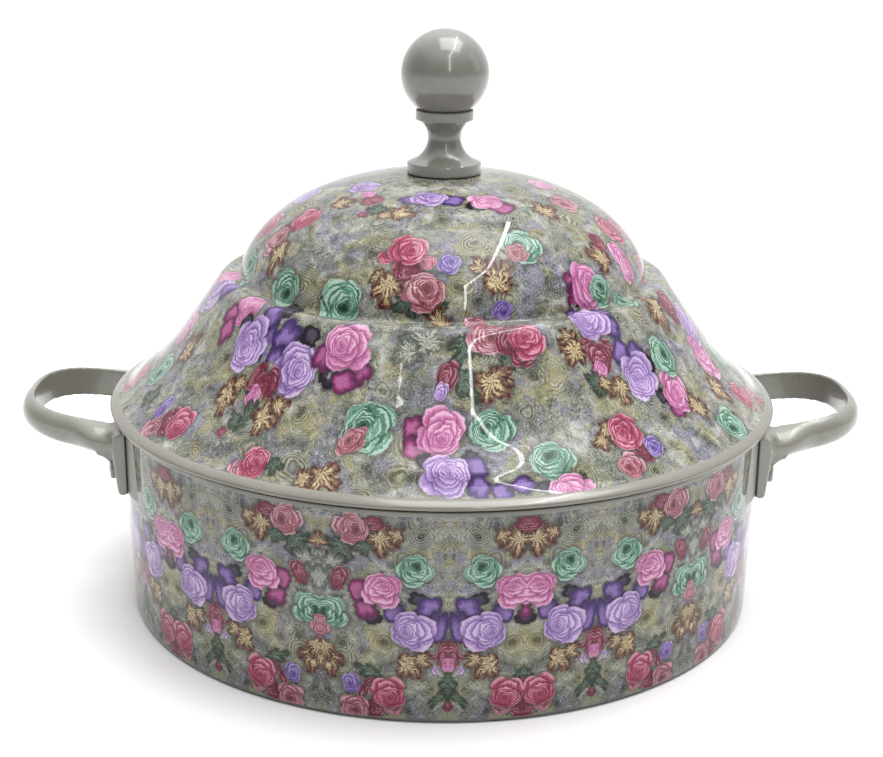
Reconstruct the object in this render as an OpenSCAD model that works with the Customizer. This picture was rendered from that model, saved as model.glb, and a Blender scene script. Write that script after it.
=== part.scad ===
// Round two-handled casserole with a tall stepped dome lid and a ball finial.
// Millimetres, +Z up. The origin is on the vertical axis of the pot, at the
// height of the surface it stands on. The handles lie along X.

/* [Pot] */
// Outer radius of the pot wall at the rim
pot_r_top = 142.5; // [142:0.1:142.6]
// How much the wall draws in from the rim down to the base
wall_draft = 2.6; // [1.5:0.1:4]
// Height of the pot at the top of its rim ring
pot_h = 88.8; // [88.4:0.1:89]
// Wall thickness
wall_t = 2.5; // [2:0.1:3]
// Thickness of the floor over the base plate
floor_t = 3.7; // [3:0.1:5]
// Inside radius between the floor and the wall
floor_r = 9; // [6:0.5:14]

/* [Base plate] */
// Radius of the induction plate pressed into the base
plate_r = 108; // [90:1:125]
// Thickness of the induction plate
plate_t = 1.5; // [1.2:0.1:2]

/* [Lid] */
// Radius of the foot of the upper dome
dome_r = 88.4; // [84:0.1:90]
// Height of the upper dome above its foot
dome_h = 41.3; // [36:0.1:46]
// Height of the foot of the upper dome
dome_z = 148.9; // [147:0.1:150]
// Sheet thickness of the lid
lid_t = 1.6; // [1.2:0.1:2]
// Outer radius of the lid's rim ring
ring_r = 147; // [146.6:0.1:148]
// Depth to which the lid's skirt enters the pot
skirt_h = 6; // [4:0.5:8]

/* [Handles] */
// Slope at which each loop rises outwards
loop_slope = 0.16; // [0.08:0.01:0.2]
// Height of the inner face of the loop
loop_h = 13.6; // [11:0.1:14]
// Thickness of the loop at its outermost point
loop_t = 5.7; // [4.5:0.1:7]
// Thickness of the loop where it leaves its feet
arm_t = 4.4; // [3.6:0.1:5]
// Angle of each foot's mating plane about the pot's axis
foot_angle = 15; // [14:0.5:16]
// Radius of a screw head
head_r = 4.35; // [3.8:0.05:4.6]

/* [Knob] */
// Radius of the ball
ball_r = 18.9; // [17:0.1:20]
// Radius of the pedestal's foot
foot_r = 16.2; // [15.8:0.1:18]
// Radius of the pedestal's waist
waist_r = 7.15; // [6:0.05:9]
// Radius of the pedestal's top collar
collar_r = 12.6; // [12.4:0.1:14]

/* [Hidden] */

$fn = 180;
stone = [0.53, 0.53, 0.50];   // mean tone of the printed finish
grey = [0.56, 0.56, 0.52];
pale = [0.80, 0.80, 0.75];
black = [0.07, 0.07, 0.07];
steel = [0.72, 0.72, 0.72];
lift = 0.3;                   // the pot's own underside stands this far off the table
seat_gap = 0.3;               // clearance under the lid's seat

// ---- helpers -------------------------------------------------------------
// Catmull-Rom point between p1 and p2.
function cr(p0, p1, p2, p3, u) =
    0.5 * ((2 * p1) + (p2 - p0) * u + (2 * p0 - 5 * p1 + 4 * p2 - p3) * u * u
         + (3 * p1 - p0 - 3 * p2 + p3) * u * u * u);
// Smooth curve through a list of points, n steps to each span.
function smooth(p, n = 5) = let(m = len(p) - 1) concat(
    [for (i = [0 : m - 1]) for (k = [0 : n - 1])
        cr(p[max(i - 1, 0)], p[i], p[i + 1], p[min(i + 2, m)], k / n)],
    [p[m]]);
function unit(v) = v / norm(v);
// A curve moved sideways by d, to its right as it runs.
function shifted(p, d) = let(m = len(p) - 1) [for (i = [0 : m])
    let(t = unit(p[min(i + 1, m)] - p[max(i - 1, 0)])) p[i] + d * [t[1], -t[0]]];
function reversed(p) = [for (i = [len(p) - 1 : -1 : 0]) p[i]];
function spow(c, e) = sign(c) * pow(abs(c), e);

// ---- pot -----------------------------------------------------------------
function wall_r(z) = pot_r_top - wall_draft * (1 - z / 90);
wall_top = pot_h - 0.6;
floor_z = lift + floor_t;
bead_h = 2.2;                 // height of the rim ring's bead outside the wall

module pot_body() {
    color(stone) difference() {
        rotate_extrude() polygon(concat(
            [[0, lift], [wall_r(0) - 1.3, lift], [wall_r(0) - 0.75, lift + 0.12],
             [wall_r(0) - 0.3, lift + 0.5], [wall_r(1.6), 1.6], [wall_r(wall_top), wall_top],
             [wall_r(wall_top) - wall_t, wall_top]],
            [for (a = [0 : 10 : 90])
                [wall_r(floor_z) - wall_t - floor_r * (1 - cos(a)), floor_z + floor_r * (1 - sin(a))]],
            [[0, floor_z]]));
        translate([0, 0, lift - 1]) cylinder(r = plate_r, h = plate_t - lift + 1);
        for (m = [0, 1]) mirror([m, 0, 0]) at_feet() screw_line() cylinder(r = 2.02, h = 4, $fn = 48);
    }
}

module pot_rim_ring() {
    w = wall_r(wall_top);
    color(grey) rotate_extrude() polygon([
        [w - wall_t, wall_top], [w - wall_t, pot_h - 0.12], [w - wall_t + 0.12, pot_h],
        [w + 0.2, pot_h], [w + 0.42, pot_h - 0.12], [w + 0.55, pot_h - 0.4], [w + 0.55, pot_h - bead_h + 0.6],
        [w + 0.42, pot_h - bead_h + 0.25], [w + 0.15, pot_h - bead_h + 0.05], [wall_r(pot_h - bead_h), pot_h - bead_h],
        [w, wall_top]]);
}

module base_plate() {
    color(steel) difference() {
        cylinder(r = plate_r - 0.05, h = plate_t);
        for (r = [24 : 12 : 96]) translate([0, 0, -0.5]) difference() {
            cylinder(r = r + 0.6, h = 0.75);
            translate([0, 0, -0.5]) cylinder(r = r - 0.6, h = 2);
        }
    }
}

// ---- handles, built at +X; local x runs out along a foot's normal and
// ---- local y along its face, away from the middle of the handle ------------
lug_n = 142.7;                 // mating plane of the lug
seam = 0.6;                    // gasket thickness
foot_n = lug_n + seam;
foot_bot = 60.5;
foot_top = 88.5;
lug_top = pot_h - bead_h - 0.4;
screw_t = 7; screw_z = 69.3;

module at_feet() { for (m = [0, 1]) mirror([0, m, 0]) rotate([0, 0, foot_angle]) children(); }
// Places a child's Z along the screw's axis, with 0 at the blind end of its hole.
module screw_line() { translate([139.9, screw_t, screw_z]) rotate([0, 90, 0]) children(); }
function foot_out(z) = 146.9 + 0.09 * (z - foot_bot);

// Inner edge of the loop in plan: a flattened half oval carried on straight to the feet.
loop_x = 148.6; loop_a = 32.6; loop_b = 35.2; loop_n = 2.64;
half_path = [for (a = [0 : 3 : 90])
    [loop_x + loop_a * spow(cos(a), 2 / loop_n), loop_b * spow(sin(a), 2 / loop_n)]];
tail = [for (x = [146.5, 144.5, 142.5]) [x, loop_b]];
flare = function(p) [p[0], p[1] + 0.6 * pow(max(168 - p[0], 0) / 20, 2)];
side_path = [for (p = concat(half_path, tail)) flare(p)];
loop_path = concat(reversed([for (p = side_path) [p[0], -p[1]]]), [for (i = [1 : len(side_path) - 1]) side_path[i]]);
// D-shaped section: flat inside, bulging outside, drawn thinner towards the feet.
sec = [for (a = [-90 : 10 : 90]) [spow(cos(a), 2 / 1.85), spow(sin(a), 2 / 1.85) / 2]];
function loop_ring(i) = let(m = len(loop_path) - 1, p = loop_path[i],
    t = unit(loop_path[min(i + 1, m)] - loop_path[max(i - 1, 0)]), nrm = [t[1], -t[0]],
    w = min(max((p[0] - 150) / (loop_x + loop_a - 150), 0), 1), th = arm_t + (loop_t - arm_t) * w)
    [for (q = sec) let(x = p[0] + nrm[0] * th * q[0], y = p[1] + nrm[1] * th * q[0])
        [x, y, 81.5 + loop_slope * (x - 150) + loop_h * q[1]]];

module loop() {
    rings = [for (i = [0 : len(loop_path) - 1]) loop_ring(i)];
    k = len(sec); n = len(rings);
    polyhedron(points = [for (r = rings) for (p = r) p],
        faces = concat(
            [for (i = [0 : n - 2]) for (j = [0 : k - 1]) let(a = i * k + j, b = i * k + (j + 1) % k)
                [a, b + k, a + k]],
            [for (i = [0 : n - 2]) for (j = [0 : k - 1]) let(a = i * k + j, b = i * k + (j + 1) % k)
                [a, b, b + k]],
            [[for (j = [k - 1 : -1 : 0]) j]], [[for (j = [0 : k - 1]) (n - 1) * k + j]]));
}

// One foot: a drafted block whose outer side fillets up into the loop.
module foot() {
    intersection() {
        translate([0, 30, 0]) rotate([90, 0, 0]) linear_extrude(40) polygon(concat(
            [[foot_n, foot_bot + 0.8], [foot_n + 0.8, foot_bot], [foot_out(foot_bot) - 0.5, foot_bot],
             [foot_out(foot_bot), foot_bot + 0.6], [foot_out(71), 71]],
            [for (a = [180 : -10 : 100]) [foot_out(71) + 4.5 + 4.5 * cos(a), 71 + 4.5 * sin(a)]],
            [[foot_out(71) + 4.5, 75.6], [foot_out(71) + 4.5, 82], [foot_out(foot_top) + 0.6, foot_top - 1],
             [foot_out(foot_top) - 0.6, foot_top], [foot_n, foot_top]]));
        linear_extrude(100) polygon([[foot_n, -2], [foot_n, 18.2], [foot_n + 0.4, 18.7],
            [foot_n + 1.1, 18.5], [foot_out(foot_bot) - 0.3, 16.7], [foot_out(foot_bot) + 1.3, 15.2],
            [foot_out(foot_bot) + 6, 9.5], [foot_out(foot_bot) + 6, -0.6], [foot_out(foot_bot) - 0.4, -2]]);
    }
}

module handle() {
    difference() {
        union() {
            difference() {
                loop();
                at_feet() translate([foot_n - 30, -60, 0]) cube([30, 120, 120]);
            }
            at_feet() foot();
        }
        at_feet() screw_line() cylinder(r = 2.2, h = 12, $fn = 48);
        at_feet() translate([147.2, screw_t, screw_z]) rotate([0, 90, 0]) cylinder(r = head_r + 0.15, h = 6, $fn = 64);
    }
}
module handle_lugs() {
    difference() {
        at_feet() translate([0, 0, 59.8]) intersection() {
            linear_extrude(lug_top - 59.8) polygon([[137.5, -3], [137.5, 27.5], [139.4, 25.3], [142.2, 19.6], [lug_n, 18.4], [lug_n, -2]]);
            translate([0, 40, 0]) rotate([90, 0, 0]) linear_extrude(60) polygon([[130, 0], [140.4, 0],
                [141.6, 0.5], [142.4, 1.3], [lug_n, 2.4], [lug_n, lug_top - 59.8], [130, lug_top - 59.8]]);
        }
        cylinder(r1 = wall_r(0), r2 = wall_r(100), h = 100, $fn = 1080);
        at_feet() screw_line() cylinder(r = 2.02, h = 6, $fn = 48);
    }
}
module foot_gaskets() {
    difference() {
        at_feet() translate([lug_n, 0, 0]) translate([0, 17.8, 0]) rotate([90, 0, 0]) linear_extrude(19.3)
            polygon([[0, 61.2], [seam, 61.2], [seam, lug_top], [0, lug_top]]);
        at_feet() screw_line() cylinder(r = 2.2, h = 8, $fn = 48);
    }
}
module handle_screws() {
    at_feet() screw_line() difference() {
        rotate_extrude($fn = 96) polygon([[0, 0], [1.6, 0], [2, 0.5], [2, 7.3], [head_r, 7.3],
            [head_r, 8.6], [head_r - 0.35, 9.2], [head_r - 1.0, 9.45], [0, 9.55]]);
        translate([0, 0, 8.1]) cylinder(r = 1.75, h = 3, $fn = 6);
    }
}
module right_handle() { color(grey) handle(); }
module left_handle() { color(grey) mirror([1, 0, 0]) handle(); }
module right_handle_lugs() { color(stone) handle_lugs(); }
module left_handle_lugs() { color(stone) mirror([1, 0, 0]) handle_lugs(); }
module right_foot_gaskets() { color(black) foot_gaskets(); }
module left_foot_gaskets() { color(black) mirror([1, 0, 0]) foot_gaskets(); }
module right_handle_screws() { color(grey) handle_screws(); }
module left_handle_screws() { color(grey) mirror([1, 0, 0]) handle_screws(); }

// ---- lid -----------------------------------------------------------------
crown = 189.8;                 // flat at the crown, under the knob
dome_pts = [for (a = [90 : -3 : 6]) [dome_r * pow(sin(a), 0.79), dome_z + dome_h * pow(cos(a), 1.27)]];
skirt_pts = [[143, 94.3], [141.6, 95.0], [140, 96.1], [138, 97.9], [134, 102], [126, 108.8], [119, 116.6],
             [113, 124.6], [108, 131.5], [104.5, 136.4], [101, 141.3], [98.4, 144.6], [96.5, 146.2],
             [94.2, 146.7], [92, 146.3], [90, 146.4]];
skin = concat(smooth(skirt_pts, 4), [for (p = dome_pts) [p[0], min(p[1], crown)]]);
lining = reversed([for (p = shifted([for (q = skin) if (q[1] < crown - 0.01) q], -lid_t)) p]);
seat_z = pot_h + seat_gap;
in_r = pot_r_top - wall_t - 1.1;      // outside of the skirt that enters the pot

module lid_shell() {
    color(stone) difference() {
        rotate_extrude() polygon(concat(
            [[0, crown - lid_t]], [[lining[0][0], crown - lid_t]], [for (p = lining) if (p[0] < 137 && p[0] > lining[0][0] + 0.2) p],
            [[in_r - 2, 98.2], [in_r - 1.7, seat_z - skirt_h], [in_r - 0.4, seat_z - skirt_h], [in_r, seat_z - skirt_h + 0.6],
             [in_r, seat_z], [142.4, seat_z], [142.4, 94.3]],
            skin, [[0, crown]]));
        translate([0, 0, 150]) cylinder(r = 3.3, h = 60, $fn = 64);
    }
}

module lid_rim_ring() {
    color(pale) rotate_extrude() polygon([
        [142.4, 90.6], [142.4, 94.3], [143, 94.3], [144.2, 93.85], [145.3, 93.3], [146.2, 92.7], [ring_r - 0.35, 92.3],
        [ring_r - 0.3, 92.1], [ring_r - 0.05, 91.9], [ring_r, 91.6], [ring_r, 91.15], [ring_r - 0.2, 90.9], [ring_r - 0.6, 90.8],
        [ring_r - 1.1, 91.0], [ring_r - 1.4, 91.6], [143.9, 91.6], [143.6, 90.6]]);
}

// ---- knob ----------------------------------------------------------------
washer_z = crown + 0.5;
collar_z = 217.3;
ball_bot = 218.0;
ball_z = 232.6;
bore_deep = 12;               // blind hole in the pedestal's collar, for the ball's stud
waist = smooth([[foot_r - 1.0, washer_z + 5.0], [13.6, washer_z + 5.7], [11.4, washer_z + 6.9], [9.4, washer_z + 8.9],
    [7.9, washer_z + 11.5], [waist_r, washer_z + 14.6], [7.6, washer_z + 17.8], [8.7, washer_z + 20.0],
    [10.4, washer_z + 21.7], [12.0, washer_z + 22.7]], 4);

module knob_foot_washer() {
    color(black) translate([0, 0, crown]) difference() {
        cylinder(r = foot_r - 0.35, h = 0.5);
        translate([0, 0, -1]) cylinder(r = 3.3, h = 3, $fn = 64);
    }
}
module knob_pedestal() {
    color(grey) rotate_extrude() polygon(concat(
        [[0, 178.6], [2.5, 178.6], [3, 179.1], [3, washer_z],
         [foot_r - 0.3, washer_z], [foot_r, washer_z + 0.3], [foot_r, washer_z + 4.1], [foot_r - 0.25, washer_z + 4.6]],
        waist, [[collar_r - 0.1, washer_z + 23.0], [collar_r, washer_z + 23.4], [collar_r, collar_z - 0.4], [collar_r - 0.3, collar_z],
         [3.02, collar_z], [3.02, collar_z - bore_deep], [0, collar_z - bore_deep]]));
}
module knob_gasket() {
    color(black) translate([0, 0, collar_z]) difference() {
        cylinder(r = collar_r - 0.5, h = ball_bot - collar_z);
        translate([0, 0, -1]) cylinder(r = 3.3, h = 3, $fn = 64);
    }
}
module knob_ball() {
    color(grey) difference() {
        translate([0, 0, ball_z]) sphere(r = ball_r);
        translate([0, 0, ball_bot - 40]) cylinder(r = 30, h = 40);
        translate([0, 0, ball_bot - 1]) cylinder(r = 3.02, h = 13, $fn = 64);
    }
}
module knob_stud() {
    low = collar_z - bore_deep + 0.3;
    color(steel) rotate_extrude($fn = 96) polygon([[0, low], [2.5, low], [3, low + 0.5], [3, 228.9], [2.5, 229.4], [0, 229.4]]);
}
module knob_inner_washer() {
    color(steel) translate([0, 0, crown - lid_t - 1.4]) difference() {
        cylinder(r = 10, h = 1.4);
        translate([0, 0, -1]) cylinder(r = 3.25, h = 4, $fn = 64);
    }
}
module knob_lock_washer() {
    color(steel) translate([0, 0, crown - lid_t - 2.8]) difference() {
        cylinder(r = 5.6, h = 1.4, $fn = 96);
        translate([0, 0, -1]) cylinder(r = 3.25, h = 4, $fn = 64);
        translate([0, -0.35, -1]) cube([8, 0.7, 4]);
    }
}
module knob_nut() {
    color(steel) translate([0, 0, crown - lid_t - 7.8]) difference() {
        intersection() {
            cylinder(r = 5.77, h = 5, $fn = 6);
            rotate_extrude($fn = 96) polygon([[0, 0], [5.0, 0], [5.8, 0.6], [5.8, 4.4], [5.0, 5], [0, 5]]);
        }
        translate([0, 0, -1]) cylinder(r = 3.02, h = 8, $fn = 64);
    }
}

pot_body();
pot_rim_ring();
base_plate();
left_handle();
right_handle();
left_handle_lugs();
right_handle_lugs();
left_foot_gaskets();
right_foot_gaskets();
left_handle_screws();
right_handle_screws();
lid_shell();
lid_rim_ring();
knob_foot_washer();
knob_pedestal();
knob_gasket();
knob_ball();
knob_stud();
knob_inner_washer();
knob_lock_washer();
knob_nut();
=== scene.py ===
"""Looks for a round two-handled casserole with a printed enamel finish, a tall dome lid and a ball finial."""
import math

import bpy
import numpy as np
from mathutils import Matrix, Vector


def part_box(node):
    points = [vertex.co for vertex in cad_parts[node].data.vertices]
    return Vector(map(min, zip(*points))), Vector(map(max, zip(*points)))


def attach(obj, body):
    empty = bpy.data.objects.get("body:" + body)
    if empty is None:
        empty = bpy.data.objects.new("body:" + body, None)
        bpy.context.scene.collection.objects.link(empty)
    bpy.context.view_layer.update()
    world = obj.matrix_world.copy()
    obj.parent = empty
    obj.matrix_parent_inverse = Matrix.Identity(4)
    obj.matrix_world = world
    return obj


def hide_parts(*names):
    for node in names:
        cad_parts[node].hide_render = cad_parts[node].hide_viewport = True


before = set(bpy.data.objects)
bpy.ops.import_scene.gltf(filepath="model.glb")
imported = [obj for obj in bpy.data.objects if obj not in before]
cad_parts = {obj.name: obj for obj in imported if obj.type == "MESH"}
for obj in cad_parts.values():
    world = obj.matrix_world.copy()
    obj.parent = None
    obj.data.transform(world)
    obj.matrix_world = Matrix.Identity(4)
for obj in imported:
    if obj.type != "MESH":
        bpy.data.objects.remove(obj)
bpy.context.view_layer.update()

MM = 0.001
S = bpy.context.scene
col = S.collection


# ---------------------------------------------------------------- node helpers
class Net:
    """A small builder for shader nodes: each call adds a node and returns its output."""

    def __init__(self, tree):
        self.t = tree
        self.n = 0

    def node(self, kind, **kw):
        nd = self.t.nodes.new(kind)
        self.n += 1
        nd.location = (200 * (self.n % 40), -160 * (self.n // 40))
        for k, v in kw.items():
            setattr(nd, k, v)
        return nd

    def put(self, sock, val):
        if hasattr(val, "is_output"):
            self.t.links.new(val, sock)
        elif isinstance(val, (tuple, list)):
            n = len(sock.default_value)
            sock.default_value = tuple(val)[:n] + (1.0,) * (n - len(val))
        else:
            sock.default_value = val

    def m(self, op, a, b=None, c=None, clamp=False):
        nd = self.node("ShaderNodeMath", operation=op, use_clamp=clamp)
        for i, v in enumerate((a, b, c)):
            if v is not None:
                self.put(nd.inputs[i], v)
        return nd.outputs[0]

    def v(self, op, a, b=None, scale=None):
        nd = self.node("ShaderNodeVectorMath", operation=op)
        self.put(nd.inputs[0], a)
        if b is not None:
            self.put(nd.inputs[1], b)
        if scale is not None:
            self.put(nd.inputs[3], scale)
        return nd.outputs["Value"] if op in ("LENGTH", "DOT_PRODUCT", "DISTANCE") else nd.outputs[0]

    def mix(self, f, a, b, mode="MIX", clamp=True):
        nd = self.node("ShaderNodeMix", data_type="RGBA", blend_type=mode, clamp_factor=clamp)
        self.put(nd.inputs[0], f)
        self.put(nd.inputs[6], a)
        self.put(nd.inputs[7], b)
        return nd.outputs[2]

    def ramp(self, x, lo, hi, a=0.0, b=1.0, smooth=True):
        nd = self.node("ShaderNodeMapRange", interpolation_type="SMOOTHSTEP" if smooth else "LINEAR")
        for i, v in enumerate((x, lo, hi, a, b)):
            self.put(nd.inputs[i], v)
        return nd.outputs[0]

    def stops(self, x, pts):
        nd = self.node("ShaderNodeValToRGB")
        e = nd.color_ramp.elements
        while len(e) < len(pts):
            e.new(0.5)
        for k, (p, c) in enumerate(pts):
            e[k].position = p
            e[k].color = tuple(c) + (1.0,) if len(c) == 3 else c
        self.put(nd.inputs[0], x)
        return nd.outputs[0]

    def noise(self, vec, scale, detail=2.0, rough=0.5, dist=0.0, dims="3D", w=0.0):
        nd = self.node("ShaderNodeTexNoise", noise_dimensions=dims)
        self.put(nd.inputs["Vector"], vec)
        if dims == "4D":
            self.put(nd.inputs["W"], w)
        nd.inputs["Scale"].default_value = scale
        nd.inputs["Detail"].default_value = detail
        nd.inputs["Roughness"].default_value = rough
        nd.inputs["Distortion"].default_value = dist
        return nd.outputs[0], nd.outputs[1]

    def voronoi(self, vec, scale, feature="F1", rand=1.0, dims="3D"):
        nd = self.node("ShaderNodeTexVoronoi", feature=feature, voronoi_dimensions=dims)
        self.put(nd.inputs["Vector"], vec)
        nd.inputs["Scale"].default_value = scale
        nd.inputs["Randomness"].default_value = rand
        return nd.outputs

    def attr(self, name):
        nd = self.node("ShaderNodeAttribute", attribute_name=name, attribute_type="GEOMETRY")
        return nd.outputs["Vector"]

    def sep(self, vec):
        nd = self.node("ShaderNodeSeparateXYZ")
        self.put(nd.inputs[0], vec)
        return nd.outputs

    def comb(self, x=0.0, y=0.0, z=0.0):
        nd = self.node("ShaderNodeCombineXYZ")
        for i, v in enumerate((x, y, z)):
            self.put(nd.inputs[i], v)
        return nd.outputs[0]


def lin(r, g, b):
    """An sRGB colour given as 0-255, as linear values."""
    out = []
    for c in (r, g, b):
        c = c / 255.0
        out.append(c / 12.92 if c <= 0.04045 else ((c + 0.055) / 1.055) ** 2.4)
    return tuple(out)


def ink(r, g, b):
    """A colour of the print, undone for the contrast curve at the end of its shader."""
    return tuple(c ** (1 / 1.28) for c in lin(r, g, b))


def material(name):
    mat = bpy.data.materials.new(name)
    mat.use_nodes = True
    t = mat.node_tree
    t.nodes.clear()
    net = Net(t)
    out = net.node("ShaderNodeOutputMaterial")
    bsdf = net.node("ShaderNodeBsdfPrincipled")
    t.links.new(bsdf.outputs[0], out.inputs["Surface"])
    return mat, net, bsdf


# ---------------------------------------------------------------- the printed finish
def flower_group():
    """A painted bloom in its own local coordinates: rings of overlapping lobed petals, lit at
    their lips and shaded where the next ring lies over them. Colours and style come in from
    the mesh, so one group paints roses, ranunculus, tulips, buds, leaves and seed heads."""
    g = bpy.data.node_groups.new("bloom", "ShaderNodeTree")
    for nm, kind in (("P", "NodeSocketVector"), ("Hi", "NodeSocketVector"), ("Lo", "NodeSocketVector"),
                     ("Style", "NodeSocketVector"), ("Under", "NodeSocketColor")):
        g.interface.new_socket(nm, in_out="INPUT", socket_type=kind)
    g.interface.new_socket("Color", in_out="OUTPUT", socket_type="NodeSocketColor")
    n = Net(g)
    gi = n.node("NodeGroupInput").outputs
    go = n.node("NodeGroupOutput")
    P, Hi, Lo, Style, Under = gi[0], gi[1], gi[2], gi[3], gi[4]
    ps = n.sep(P)
    seed = ps[2]
    st = n.sep(Style)           # x fine ring lines, y dark edge, z line-art only
    flat = n.comb(ps[0], ps[1], n.m("MULTIPLY", seed, 3.7))
    # organic wobble of the whole bloom, coarse and fine
    wob = n.v("SUBTRACT", n.noise(flat, 1.7, 2.5, 0.6)[1], (0.5, 0.5, 0.5))
    tear = n.m("MULTIPLY_ADD", n.m("MULTIPLY", st[0], st[1]), 0.5, 0.46)
    q = n.v("ADD", flat, n.v("SCALE", wob, scale=tear))
    qs = n.sep(q)
    # inner rings drift to one side, as on a bloom seen at a slant
    r0 = n.m("SQRT", n.m("ADD", n.m("MULTIPLY", qs[0], qs[0]), n.m("MULTIPLY", qs[1], qs[1])))
    pull = n.m("MULTIPLY", n.m("SUBTRACT", 1.0, r0, clamp=True), 0.42)
    x = n.m("SUBTRACT", qs[0], n.m("MULTIPLY", pull, n.m("COSINE", n.m("MULTIPLY", seed, 5.1))))
    y = n.m("SUBTRACT", qs[1], n.m("MULTIPLY", pull, n.m("SINE", n.m("MULTIPLY", seed, 5.1))))
    r = n.m("SQRT", n.m("ADD", n.m("MULTIPLY", x, x), n.m("MULTIPLY", y, y)))
    th = n.m("ARCTAN2", y, x)
    rings = [(1.0, 4, 0.24), (0.82, 3, 0.26), (0.64, 3, 0.20), (0.50, 3, 0.26), (0.37, 2, 0.30),
             (0.25, 2, 0.34), (0.14, 2, 0.3)]
    val, w0 = None, None
    for k, (R, lob, amp) in enumerate(rings):
        ph = n.m("MULTIPLY_ADD", seed, 2.3 + 1.7 * k, 1.9 * k)
        a = n.m("ABSOLUTE", n.m("COSINE", n.m("MULTIPLY_ADD", th, lob / 2.0, ph)))
        lobe = n.m("POWER", a, 0.55)
        if k == 0:               # torn flowers have deeper cuts between their petals
            deep = n.m("MULTIPLY_ADD", n.m("MULTIPLY", st[0], st[1]), 0.34, amp)
            edge = n.m("MULTIPLY_ADD", n.m("SUBTRACT", lobe, 0.8), deep, 1.0)
        else:
            edge = n.m("MULTIPLY_ADD", lobe, amp * R, (1 - 0.8 * amp) * R)
        w = n.m("DIVIDE", r, edge)
        # each petal: bright lip, falling away inwards; creases run where lobes meet
        lip = n.m("POWER", n.m("MINIMUM", w, 1.0), 5.0 if k < 2 else 3.6)
        tone = n.m("MULTIPLY_ADD", lip, 0.46, 0.50 - 0.02 * k)
        tone = n.m("MULTIPLY", tone, n.m("MULTIPLY_ADD", lobe, 0.38, 0.64))
        if val is None:
            w0, val = w, tone
        else:
            gap = n.m("EXPONENT", n.m("MULTIPLY", n.m("MAXIMUM", n.m("SUBTRACT", w, 1.0), 0.0), -7.5))
            val = n.m("MULTIPLY", val, n.m("MULTIPLY_ADD", gap, -0.62, 1.0))
            inside = n.ramp(w, 1.0, 0.965)
            val = n.m("ADD", n.m("MULTIPLY", val, n.m("SUBTRACT", 1.0, inside)), n.m("MULTIPLY", tone, inside))
    # one-sided light across the bloom
    side = n.m("MULTIPLY_ADD", n.m("SINE", n.m("ADD", th, n.m("MULTIPLY", seed, 9.0))), 0.16, 1.0)
    val = n.m("MULTIPLY", val, side)
    # fine veins and mottling
    vein = n.noise(n.comb(n.m("MULTIPLY", th, 5.0), n.m("MULTIPLY", r, 2.2), seed), 2.6, 3.0, 0.65)[0]
    mott = n.noise(flat, 8.5, 3.0, 0.7)[0]
    val = n.m("MULTIPLY", val, n.m("MULTIPLY_ADD", vein, 0.55, 0.74))
    val = n.m("MULTIPLY_ADD", n.m("SUBTRACT", mott, 0.5), 0.34, val)
    # ranunculus: many thin rings and a dark heart
    spiral = n.m("ADD", n.m("MULTIPLY", r, 44.0), n.m("ADD", th, n.m("MULTIPLY", mott, 7.0)))
    lines = n.m("MULTIPLY_ADD", n.m("SINE", spiral), 0.5, 0.5)
    heart = n.ramp(r, 0.08, 0.5, 0.15, 1.0)
    fine = n.m("MULTIPLY", n.m("MULTIPLY_ADD", lines, 0.55, 0.5), heart)
    val = n.m("MULTIPLY", val, n.m("ADD", n.m("SUBTRACT", 1.0, st[0]), n.m("MULTIPLY", fine, n.m("MULTIPLY", st[0], 1.45))))
    # tulip and bud: pale rays inside, dark torn edge
    # with rays it is a torn tulip or a leaf, without them one plain cupped petal
    ray = n.m("ABSOLUTE", n.m("SINE", n.m("MULTIPLY_ADD", th, 5.5, n.m("MULTIPLY", mott, 3.4))))
    rays = n.m("MULTIPLY_ADD", n.m("POWER", ray, 1.5), 0.95, 0.05)
    rays = n.m("ADD", n.m("MULTIPLY", rays, st[0]), n.m("SUBTRACT", 1.0, st[0]))
    dome = n.m("MULTIPLY", n.m("ADD", n.ramp(w0, 1.0, 0.30, 0.10, 0.92), n.m("MULTIPLY", n.ramp(w0, 0.90, 0.98), 0.16)), rays)
    body = n.m("MULTIPLY", dome, n.m("MULTIPLY_ADD", mott, 1.5, 0.28))
    val = n.m("ADD", n.m("MULTIPLY", val, n.m("SUBTRACT", 1.0, st[1])), n.m("MULTIPLY", body, st[1]))
    val = n.m("MULTIPLY", val, 1.32, clamp=True)
    c = n.mix(n.ramp(val, 0.0, 0.92, smooth=False), Lo, Hi)
    lift = n.m("MULTIPLY", n.ramp(val, 0.80, 1.05), n.m("SUBTRACT", 0.42, n.m("MULTIPLY", st[1], 0.3)))
    c = n.mix(lift, c, (0.93, 0.88, 0.92))
    # coverage: a solid bloom, or thin line art over what lies under it
    cover = n.ramp(w0, 1.03, 0.95)
    art = n.m("MULTIPLY", n.ramp(r, 1.0, 0.25), n.ramp(lines, 0.35, 0.8, 1.0, 0.0))
    art = n.m("MAXIMUM", art, n.m("MULTIPLY", n.ramp(r, 0.42, 0.22), n.ramp(mott, 0.42, 0.56, 0.25, 1.0)))
    cover = n.m("ADD", n.m("MULTIPLY", cover, n.m("SUBTRACT", 1.0, st[2])), n.m("MULTIPLY", art, n.m("MULTIPLY", st[2], 0.8)))
    shade = n.m("MULTIPLY", n.ramp(w0, 1.30, 1.0, 0.0, 0.34), n.m("SUBTRACT", 1.0, st[2]))
    under = n.mix(shade, Under, (0.03, 0.025, 0.03))
    n.put(go.inputs[0], n.mix(cover, under, c))
    return g


BLOOM = flower_group()


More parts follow.
